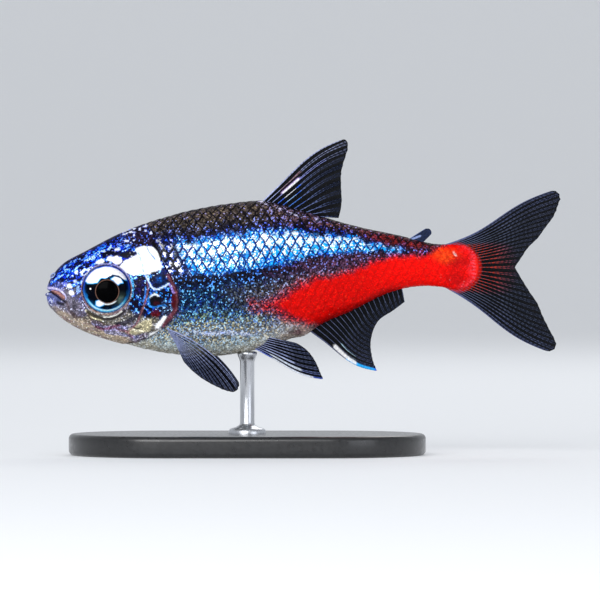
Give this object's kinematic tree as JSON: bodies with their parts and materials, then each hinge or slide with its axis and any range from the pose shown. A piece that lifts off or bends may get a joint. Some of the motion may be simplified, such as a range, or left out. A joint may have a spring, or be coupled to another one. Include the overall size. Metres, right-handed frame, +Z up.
{
  "type": "neon tetra fish model",
  "caption": "Life-size still model of a neon tetra, an aquarium fish, swimming with fins spread, held by a slim rod on a flat oblong base.",
  "frame": {"origin": "on the floor under the base, at the middle of the whole model's length and width", "axes": "-X towards the snout, +X towards the tail, +Z up out of the back; the left flank looks along -Y"},
  "size_m": [0.036, 0.014, 0.0221],
  "materials": {
    "back_skin": "glossy painted skin",
    "jaw_skin": "glossy painted skin",
    "gill_cover": "glossy painted skin",
    "eye": "polished under clear lacquer",
    "stripe_scales": "glossy painted scales",
    "red_skin": "glossy painted scales",
    "fin": "clear, thin and ribbed",
    "stand_base": "satin black",
    "stand_rod": "satin steel"
  },
  "bodies": {
    "root": {"head": "back_skin", "lower_jaw": "jaw_skin", "gill_cover_left": "gill_cover", "gill_cover_right": "gill_cover", "eye_left": "eye", "eye_right": "eye", "trunk": "stripe_scales", "tail_stem": "red_skin", "dorsal_fin": "fin", "adipose_fin": "fin", "anal_fin": "fin", "caudal_fin_upper": "fin", "caudal_fin_lower": "fin", "pectoral_fin_left": "fin", "pectoral_fin_right": "fin", "pelvic_fin_left": "fin", "pelvic_fin_right": "fin", "stand_base": "stand_base", "stand_rod": "stand_rod"}
  },
  "joints": []
}
